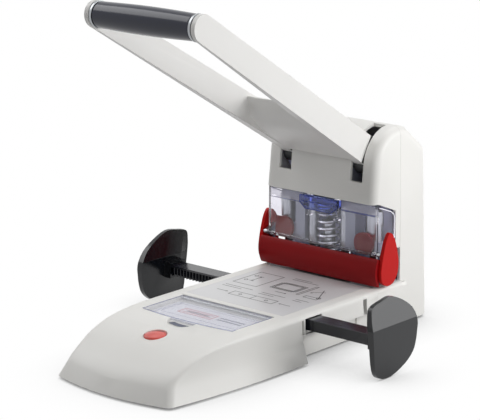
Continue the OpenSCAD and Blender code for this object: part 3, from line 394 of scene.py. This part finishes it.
# painted light on the edges of clear parts: painted shade where a rim pipes light away, a painted
# highlight where it gathers light, a painted reflection in deep red and a painted blue glow
dark_rim_painted_shade = textured("painted_shade_clear_rim", "#5F6890", "#565F86", 0.25, grain_mm=0.8, bump_mm=0.002)
rim_painted_highlight = textured("painted_highlight_rim", "#F4F4FA", "#ECECF6", 0.2, grain_mm=2.0, bump_mm=0.002)
hood_foot_painted_reflection = textured("painted_reflection_hood_foot", "#43232E", "#3A1E28", 0.3, grain_mm=2.0, bump_mm=0.002)
blue_painted_glow_and_shade = textured("painted_blue_glow_and_edge_shade", "#2C3C94", "#24348A", 0.2, grain_mm=2.0, bump_mm=0.002)
see_through(blue_painted_glow_and_shade, 0.8, 0.95)
# painted haze: the roof of the hood, seen through its front as a pale band
roof_painted_haze = textured("painted_haze_hood_roof", "#EEEDFA", "#E6E5F6", 0.2, grain_mm=3.0, bump_mm=0.002)
see_through(roof_painted_haze, 0.35, 0.6)
print("finishes so far:", len(bpy.data.materials) - from_frame)

# %% [markdown]
# The table carries a printed plastic film and, under the window, a paper card. The inks on both are
# thin satin layers, so they keep their colour where the film mirrors the tower.

# %% Printed finishes
# printed film: grey and satin, it mirrors the tower softly
film = textured("printed_film", "#E0E0E1", "#DADADC", 0.3, grain_mm=1.2, bump_mm=0.004)
# coated paper: matt white with a blue cast
card_stock = textured("card_stock", "#E9EAF3", "#E2E3EE", 0.6, grain_mm=0.4, bump_mm=0.01)
# screen inks: grey-black on the film, red and navy on the card
ink = textured("grey_ink", "#262628", "#303034", 0.4, grain_mm=0.8, bump_mm=0.002)
red_ink = textured("red_ink", "#C0242C", "#B42028", 0.4, grain_mm=0.8, bump_mm=0.002)
navy_ink = textured("navy_ink", "#1A2860", "#162254", 0.4, grain_mm=0.8, bump_mm=0.002)
print("finishes in all:", len(bpy.data.materials) - from_frame)

# %% [markdown]
# Each paddle is a plate with two planes that meet in a level crease, so its upper part catches the
# light and its lower part doesn't. In the frame the planes are only about 9 degrees apart, and under
# wide lamps they get nearly the same tone. So the shading strengthens the crease: above it the
# surface's direction is turned up by about 13 degrees more, and below it down by about 6.

# %% Crease of the paddles
CREASE_LEVEL = 37.5           # height of the crease over the floor, in mm
CREASE_HALF = 0.4             # half of its width, in mm
UPPER_TURN = 0.24             # what is added to the direction's height above the crease
LOWER_TURN = -0.1


def creased(material):
    """Adds UPPER_TURN or LOWER_TURN to the height of the grained direction and makes it unit long."""
    tree = material.node_tree
    shader = tree.nodes["Principled BSDF"]
    grained = shader.inputs["Normal"].links[0].from_node
    place = add(tree, "ShaderNodeTexCoord")
    height = add(tree, "ShaderNodeSeparateXYZ", inputs={"Vector": (place, "Object")})
    side = add(tree, "ShaderNodeMapRange", inputs={
        "Value": (height, "Z"), "From Min": (CREASE_LEVEL - CREASE_HALF) * MM,
        "From Max": (CREASE_LEVEL + CREASE_HALF) * MM, "To Min": LOWER_TURN, "To Max": UPPER_TURN})
    lift = add(tree, "ShaderNodeCombineXYZ", inputs={"Z": (side, "Result")})
    turned = add(tree, "ShaderNodeVectorMath", {"operation": "ADD"},
                 {0: (grained, "Normal"), 1: (lift, "Vector")})
    unit = add(tree, "ShaderNodeVectorMath", {"operation": "NORMALIZE"}, {0: (turned, "Vector")})
    tree.links.new(unit.outputs["Vector"], shader.inputs["Normal"])


creased(paddle_abs)
print("crease at", CREASE_LEVEL, "mm")

# %% [markdown]
# Plates, pins, punches and other parts with crisp machined edges look right as the frame has them.
# They only get their finish.

# %% Finish of the carried-over nodes
plain_nodes = {
    grey_paint: ["base_plate", "die_plate"],
    frame_zinc: ["side_plates"],
    ground_steel: ["flap_pin", "pinion_pin", "guide_plate", "guide_rods", "spring_post", "axle",
                   "drive_pin", "grip_rod", "cover_screws", "punch_right", "punch_left"],
    dark_abs: ["rack_guide", "back_stop", "chip_tray", "axle_clips"],
    bronze: ["axle_spacers", "crosshead_bushes"],
    acetal: ["pinion"],
    rubber: ["rubber_feet"],
    card_stock: ["label_card"],
    film: ["table_sheet"]}
for material, held in plain_nodes.items():
    for node in held:
        nodes[node].data.materials.clear()
        nodes[node].data.materials.append(material)
print("carried over:", sum(len(held) for held in plain_nodes.values()))

# %% [markdown]
# The moulded shells come out of the frame as loose triangles with hard edges. A real moulding has a
# small radius on every edge, and that radius is what catches the light. So a copy of each shell is
# merged into clean faces, shaded smooth up to an angle, and its sharp edges get a narrow bevel.

# %% Shells with moulded edges
MERGE_WITHIN = 0.002 * MM                # points closer than this are one
FLAT_WITHIN = math.radians(0.4)          # faces that meet at less than this are one
SMOOTH_UP_TO = math.radians(32.0)        # bends below this are shaded as a curve
BEVEL_FROM = math.radians(40.0)          # edges sharper than this are rounded


def merged_copy(node, material, reshape=None):
    """A copy of a node's surface, merged and shaded smooth. reshape may move its points first."""
    mesh = nodes[node].data.copy()
    mesh.name = node + "_surface"
    if reshape:
        reshape(mesh)
    work = bmesh.new()
    work.from_mesh(mesh)
    bmesh.ops.remove_doubles(work, verts=work.verts, dist=MERGE_WITHIN)
    bmesh.ops.dissolve_limit(work, angle_limit=FLAT_WITHIN, verts=work.verts, edges=work.edges)
    work.to_mesh(mesh)
    work.free()
    mesh.shade_smooth()
    mesh.set_sharp_from_angle(angle=SMOOTH_UP_TO)
    mesh.materials.clear()
    mesh.materials.append(material)
    piece = bpy.data.objects.new(node + "_surface", mesh)
    bpy.context.scene.collection.objects.link(piece)
    return piece


def moulded(node, material, edge_mm, segments=2, reshape=None):
    """A merged copy that stands for its node on the same body, with edges rounded over edge_mm."""
    piece = merged_copy(node, material, reshape)
    if edge_mm:
        edge = piece.modifiers.new("edge", "BEVEL")
        edge.width = edge_mm * MM
        edge.segments = segments
        edge.limit_method = "ANGLE"
        edge.angle_limit = BEVEL_FROM
        edge.use_clamp_overlap = True
        edge.harden_normals = True
    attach(piece, body_of_node[node])
    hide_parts(node)
    return piece


def second_finish(piece, material, takes_it):
    """Adds a finish for the faces that a test of their middle and direction picks."""
    piece.data.materials.append(material)
    for face in piece.data.polygons:
        face.material_index = int(takes_it(Vector(face.center), face.normal))
    taken = sum(face.material_index for face in piece.data.polygons)
    print(piece.name, "has", taken, "of", len(piece.data.polygons), "faces in", material.name)


# %% [markdown]
# The skirt of the table runs on flat to the step beside the tower. The solid's skirt turns in there
# along an arc, so the copy's points are moved out again by as much as it turns.

# %% The white covers
BASE_LEVEL, TABLE_LEVEL = 2.0, 35.0      # foot and top of the skirt
BAND_LEVEL, BAND_FADE = 20.0, 0.2        # the turn fades in below this level, over this share
SKIRT_TURN, STEP = -24.5, -6.5           # where along the table the turn starts and ends
TURN_RADIUS = 20.0
FOOT_HALF, TOP_HALF = 61.0, 55.5         # half of the table's width at the foot and at the top
FLARE_POWER = 2.5                        # how late the skirt flares towards its foot
INNER_LIMIT = 51.3                       # the turn goes no further in than this
INNER_PARTS = 38.0                       # nothing within this distance of the middle is skirt
PAST_STEP = 0.1                          # the edge at the step moves with the skirt


def straighten_skirt(mesh):
    """Outward shift of a point = half width of the flat skirt, less that of the turned one. The flat
    one is TOP_HALF plus a flare to the foot. The turned one is less than it by the circle's depth,
    but no less than INNER_LIMIT."""
    points = np.empty(3 * len(mesh.vertices), dtype=np.float32)
    mesh.vertices.foreach_get("co", points)
    points = points.reshape(-1, 3)
    x, y, z = (points / np.float32(MM)).astype(float).T
    height = (z - BASE_LEVEL) / (TABLE_LEVEL - BASE_LEVEL)
    band = (BAND_LEVEL - BASE_LEVEL) / (TABLE_LEVEL - BASE_LEVEL)
    along = np.clip(y - SKIRT_TURN, 0.0, STEP - SKIRT_TURN)
    depth = TURN_RADIUS - np.sqrt(TURN_RADIUS ** 2 - along ** 2)
    depth *= np.clip((band - height) / BAND_FADE, 0.0, 1.0)
    flat = TOP_HALF + (FOOT_HALF - TOP_HALF) * np.maximum(0.0, 1.0 - height) ** FLARE_POWER
    shift = flat - np.maximum(INNER_LIMIT, flat - depth)
    on_skirt = (y > SKIRT_TURN) & (y < STEP + PAST_STEP) & (np.abs(x) > INNER_PARTS)
    points[:, 0] += np.where(on_skirt, np.copysign(shift, x), 0.0) * MM
    mesh.vertices.foreach_set("co", points.ravel())
    print("skirt moved out by up to %.1f mm" % shift[on_skirt].max())


moulded("table_cover", white_abs, edge_mm=0.4, reshape=straighten_skirt)
for node in ("base_chassis", "tower_front", "tower_rear"):
    moulded(node, white_abs, edge_mm=0.4)

# %% [markdown]
# The lever is one part: two white arms with a web between them, and a hub that disappears into the
# tower. The hub and its cheeks get painted shade, a black that stands for the shadow in the tower's
# slots, so faces near the axle take that second finish.

# %% The lever
HUB_MIDDLE = Vector((0.0, 110.0, 120.5)) * MM
HUB_REACH = 27.5 * MM


def near_axle(middle, direction):
    """Distance from the axle, seen from the side, below HUB_REACH."""
    from_hub = middle - HUB_MIDDLE
    return math.hypot(from_hub.y, from_hub.z) < HUB_REACH


lever_surface = moulded("lever", lever_enamel, edge_mm=0.8, segments=3)
second_finish(lever_surface, hub_painted_shade, near_axle)

# %% [markdown]
# The other rigid mouldings and castings differ only in their finish and in how widely their edges are
# rounded: up to 0.3 mm on rings and teeth, 0.5 mm on castings, and 0.7 to 0.8 mm on what a hand or a
# stack of paper meets. The button and the grip are round enough in the frame.

# %% Punch head, grip and side stop
moulded("crosshead", die_cast, edge_mm=0.5)
# the keys take the red darkened as painted shade
moulded("punch_keys", key_red_painted_shade, edge_mm=0.8)
# the bar takes the red darkened as painted shade
moulded("hold_down_bar", bar_red_painted_shade, edge_mm=0.5)
for node in ("end_cap_right", "end_cap_left"):
    moulded(node, red_gloss, edge_mm=0.7, segments=3)
moulded("push_button", button_red, edge_mm=0.0)
moulded("grip", navy_gloss, edge_mm=0.0)
moulded("grip_collars", silver, edge_mm=0.3)
for node in ("rack_right", "rack_left"):
    moulded(node, rack_acetal, edge_mm=0.25)
for node in ("paddle_right", "paddle_left"):
    moulded(node, paddle_abs, edge_mm=0.8, segments=3)

# %% [markdown]
# The hood is a clear box that is open at the back and at its foot, and it turns on short pins in its
# front corners. The cut edge at the foot stands over the red bar, and its faces get a painted
# reflection: a dark red that stands for the bar's shadow side seen in it, in a finish of its own.

# %% The clear parts
HOOD_FOOT = 58.3 * MM         # the cut edge lies below this level
FACES_DOWN = -0.5


def cut_edge(middle, direction):
    """Low down on the hood and facing down."""
    return middle.z < HOOD_FOOT and direction.z < FACES_DOWN


hood_surface = moulded("hood", clear_pc, edge_mm=0.3)
# the faces at the hood's foot take the painted reflection of the bar's shadow side
second_finish(hood_surface, hood_foot_painted_reflection, cut_edge)
moulded("hood_pins", clear_pc, edge_mm=0.0)
moulded("hood_latch", blue_clear, edge_mm=0.5)
moulded("window_flap", window_pc, edge_mm=0.3)
moulded("hold_down_pads", window_pc, edge_mm=0.2)

# %% [markdown]
# In the machine a coil spring stands between two bodies: its lower end stays with one and its upper
# end goes with the other, so its turns close up as the joint between them moves. Here each spring is
# a merged copy with smooth shading that is tied to neither body, so it stays as it stands.

# %% Springs
for node, below, above in (("return_spring", "root", "crosshead"), ("button_spring", "root", "button"),
                           ("latch_spring", "hood", "latch")):
    coil = merged_copy(node, plated_wire)
    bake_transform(coil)
    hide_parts(node)

# %% [markdown]
# Ink is a layer of a few hundredths of a millimetre, so a printed line is a flat ribbon just above
# what it is printed on. Each ribbon follows a path, and its two edges are worked out at once for all
# points of the path.

# %% Ribbons
SHARPEST = 0.3                # keeps the outer corner of a very sharp bend from running away


def ribbons(name, strokes, width_mm, level_mm, material, body, plane="flat"):
    """One mesh of strokes, each a list of points in mm: (x, y) on the level z for a flat one, (x, z)
    on y for one that faces the front, and (y, z) on x for one that faces the side. At each point the
    edges lie half a width to the left and right of the mean direction of its two stretches."""
    points, faces, start = [], [], 0
    for stroke in strokes:
        path = np.array(stroke, dtype=float)
        ways = np.diff(path, axis=0)
        ways /= np.linalg.norm(ways, axis=1)[:, None]
        bends = np.concatenate([ways[:1], (ways[1:] + ways[:-1]) / 2, ways[-1:]])
        aside = np.stack([-bends[:, 1], bends[:, 0]], axis=1)
        aside /= np.maximum((bends ** 2).sum(axis=1), SHARPEST)[:, None]
        edges = np.stack([path + aside * width_mm / 2, path - aside * width_mm / 2], axis=1)
        u, v = edges.reshape(-1, 2).T
        level = np.full_like(u, level_mm)
        placed = {"flat": (u, v, level), "front": (u, level, v), "side": (level, u, v)}[plane]
        points.append(np.stack(placed, axis=1) * MM)
        first = start + 2 * np.arange(len(path) - 1)
        faces.append(np.stack([first, first + 1, first + 3, first + 2], axis=1))
        start += 2 * len(path)
    mesh = bpy.data.meshes.new(name)
    mesh.from_pydata(np.concatenate(points).tolist(), [], np.concatenate(faces).tolist())
    mesh.materials.append(material)
    piece = bpy.data.objects.new(name, mesh)
    bpy.context.scene.collection.objects.link(piece)
    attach(piece, body)
    print(name, "has strokes:", len(strokes))


def outline(x0, y0, x1, y1):
    """A rectangle between two corners."""
    return [(x0, y0), (x1, y0), (x1, y1), (x0, y1), (x0, y0)]


def ring(x, y, r, start=0.0, end=360.0, steps=14):
    """A circle round (x, y), or the part of it between two angles in degrees."""
    return [(x + r * math.cos(math.radians(a)), y + r * math.sin(math.radians(a)))
            for a in np.linspace(start, end, steps)]


def arrow(x0, y0, x1, y1, head=1.6):
    """A straight stroke and its head, whose barbs are turned back by half a radian."""
    way = math.atan2(y1 - y0, x1 - x0)
    barbs = [(x1 - head * math.cos(way + turn), y1 - head * math.sin(way + turn))
             for turn in (0.5, -0.5)]
    return [[(x0, y0), (x1, y1)], [barbs[0], (x1, y1), barbs[1]]]


# %% [markdown]
# The film on the table explains the machine with small drawings: a sheet with its two holes, a stack
# against the stop, and the way the lever turns. They are simple strokes, drawn in the table's own
# millimetres.

# %% Drawings on the film
TABLE_TOP = 35.0
LINE_LIFT = 0.06              # how far a line lies over what it is printed on
FILM_INK = TABLE_TOP + LINE_LIFT
FILM_LINE = 0.6

drawing = []
# a sheet of paper with its two holes and the distance between them
drawing += [outline(-38, 28, -16, 60), ring(-34, 38, 1.3), ring(-34, 50, 1.3)]
drawing += arrow(-29, 44, -29, 38.4) + arrow(-29, 44, -29, 49.6)
drawing += [[(-31, y), (-27, y)] for y in (38, 50)]
# a stack of sheets pushed against the side stop
drawing += [outline(-8 + 1.2 * i, 34 + 1.2 * i, 12 + 1.2 * i, 48 + 1.2 * i) for i in range(3)]
drawing += [outline(18, 32, 20, 56)] + arrow(2, 28, 12, 28) + [[(-8, 60), (16, 60)], [(-8, 63), (8, 63)]]
# the lever with its arc
drawing += [outline(26, 30, 38, 34), [(37, 34), (28, 52)], ring(37, 34, 15, 108, 150, 10)]
drawing += arrow(25.0, 43.0, 24.0, 41.0) + [ring(37, 34, 1.6)]
# ruled guide lines under the three drawings
drawing += [[(-38, 20), (-12, 20)], [(-38, 16.5), (-20, 16.5)], [(-4, 20), (18, 20)],
            [(-4, 16.5), (10, 16.5)], [(26, 22), (38, 22)], [(26, 18.5), (34, 18.5)]]
# the edge of the sheet against the hold-down bar, with its centre mark
drawing += [outline(-20, 2, 20, 10), [(0, 2), (0, 10)], ring(-12, 6, 1.1), ring(12, 6, 1.1)]
drawing += arrow(-34, 6, -24, 6) + arrow(34, 6, 24, 6)
ribbons("table_sheet_drawings", drawing, FILM_LINE, FILM_INK, ink, "root")

# %% [markdown]
# A card lies in a pocket under the window and carries plain ruled lines, thick enough to be made out
# through the window. A thin line of painted shadow round it stands for the shade between its edge
# and the pocket.

# %% Lines on the label card
FLAP_THICK, POCKET_DEEP = 2.0, 1.8
CARD_RISE = 0.45              # top of the card over the floor of its pocket
CARD_LIFT = 0.05              # the same on the card, so that the lines round it lie above its ink
CARD_INK = TABLE_TOP - FLAP_THICK - POCKET_DEEP + CARD_RISE + CARD_LIFT
CARD_Y = -41.0                # middle of the card

ribbons("label_card_frame", [outline(-25, CARD_Y - 4.6, 5, CARD_Y + 4.6)]
        + [[(-23, CARD_Y + dy), (3, CARD_Y + dy)] for dy in (-2.0, 2.0)],
        1.1, CARD_INK, red_ink, "root")
ribbons("label_card_rules", [[(-20, CARD_Y), (0, CARD_Y)]]
        + [[(9, CARD_Y + dy), (31, CARD_Y + dy)] for dy in (2.2, -1.8)],
        2.2, CARD_INK, navy_ink, "root")
# painted shadow round the card's edge
ribbons("label_card_painted_shadow_edge", [outline(-35.5, CARD_Y - 11.0, 35.5, CARD_Y + 11.0)],
        0.5, CARD_INK, dark_rim_painted_shade, "root")

# %% [markdown]
# The rim of a clear sheet looks dark because it pipes the light away. Thin ribbons of painted shade
# on the window's edge and on the floor of its pocket give that line. The thumb notch in front of the
# window is a half-round dip, and a strip of painted shadow lies on its floor.

# %% Rims of the window
WINDOW_BACK, WINDOW_FRONT, WINDOW_HALF = -22.2, -64.0, 42.0
WINDOW_BOW = 3.0              # how far the front edge bows out in its middle
RIM_DOWN = 0.15               # the rim lies just under the table's top
NOTCH_RADIUS, NOTCH_HALF = 10.0, 9.5
NOTCH_GAP = 3.4               # from the window's front to the middle of the notch
NOTCH_FLAT = 0.3              # the strip runs at this share of the notch's reach
NOTCH_DEEP, NOTCH_STRIP = 2.9, 4.5


def window_line(inset):
    """The window's outline moved in by inset: straight at the back and bowed as 1 - u * u in front."""
    half = WINDOW_HALF - inset
    back = WINDOW_BACK - inset
    front = [(half * u, WINDOW_FRONT + inset - WINDOW_BOW * (1 - u * u)) for u in np.linspace(-1, 1, 13)]
    return [(half, back), (-half, back)] + front + [(half, back)]


# painted shade along the window's rim and along the edge of its pocket
ribbons("window_flap_painted_shade_rim", [window_line(0.5)], 0.9, TABLE_TOP - RIM_DOWN, dark_rim_painted_shade, "flap")
ribbons("window_pocket_painted_shade_line", [window_line(4.6)], 0.5, CARD_INK + LINE_LIFT, dark_rim_painted_shade, "root")
# a strip of painted shadow on the floor of the thumb notch
notch = [(x, WINDOW_FRONT - NOTCH_GAP - NOTCH_FLAT * math.sqrt(NOTCH_RADIUS ** 2 - x * x))
         for x in np.linspace(-NOTCH_HALF, NOTCH_HALF, 15)]
ribbons("painted_shadow_in_thumb_notch", [notch], NOTCH_STRIP, TABLE_TOP - NOTCH_DEEP, notch_painted_shadow, "root")

# %% [markdown]
# Behind the hood's front wall a rib runs to each side of the latch, and a painted blue glow on it
# stands for the light that the latch feeds it. The roof shows above it as a band of painted pale
# haze. The rims of the hood's side walls get painted highlights, and the latch has a painted dark
# line round its face and one where it folds.

# %% Lines of the hood and the latch
RIB_PLANE, ROOF_PLANE = 83.9, 83.8       # in the hood's front wall, close to its back
RIB_LEVEL, RIB_FROM, RIB_TO = 87.4, 18.0, 48.6
ROOF_LEVEL, ROOF_FROM, ROOF_TO, ROOF_BAND = 91.0, 17.6, 48.9, 5.6
WING_PLANE = 51.3                        # just outside the hood's side walls
LATCH_PLANE = 78.45                      # just in front of the latch

# painted blue glow on the ribs, and a band of painted haze where the roof shows
for end, side, rib_width in (("left", -1, 0.5), ("right", 1, 1.4)):
    rib = [(side * RIB_FROM, RIB_LEVEL), (side * RIB_TO, RIB_LEVEL)]
    ribbons("hood_rib_painted_glow_" + end, [rib], rib_width, RIB_PLANE, blue_painted_glow_and_shade, "hood", "front")
    roof = [(side * ROOF_FROM, ROOF_LEVEL), (side * ROOF_TO, ROOF_LEVEL)]
    ribbons("hood_roof_band_painted_haze_" + end, [roof], ROOF_BAND, ROOF_PLANE, roof_painted_haze, "hood", "front")
# painted highlights along the cut rims of the hood's side walls
wing_rim = [(85.0, 93.6), (92.0, 91.2), (99.0, 88.4), (102.0, 86.2), (103.3, 83.0), (103.3, 68.8)]
for end, side in (("left", -1), ("right", 1)):
    ribbons("hood_wing_painted_highlight_" + end, [wing_rim], 0.8, side * WING_PLANE, rim_painted_highlight, "hood", "side")
latch_face = [(-17.0, 94.2), (-17.0, 88.8), (-12.0, 84.7), (12.0, 84.7), (17.0, 88.8), (17.0, 94.2)]
# painted dark lines round the latch's face and along its fold
ribbons("latch_painted_shade_outline", [latch_face + latch_face[:1]], 0.9, LATCH_PLANE, blue_painted_glow_and_shade, "latch", "front")
ribbons("latch_fold_painted_shade_line", [[(-16.0, 90.0), (16.0, 90.0)]], 0.6, LATCH_PLANE, blue_painted_glow_and_shade, "latch", "front")
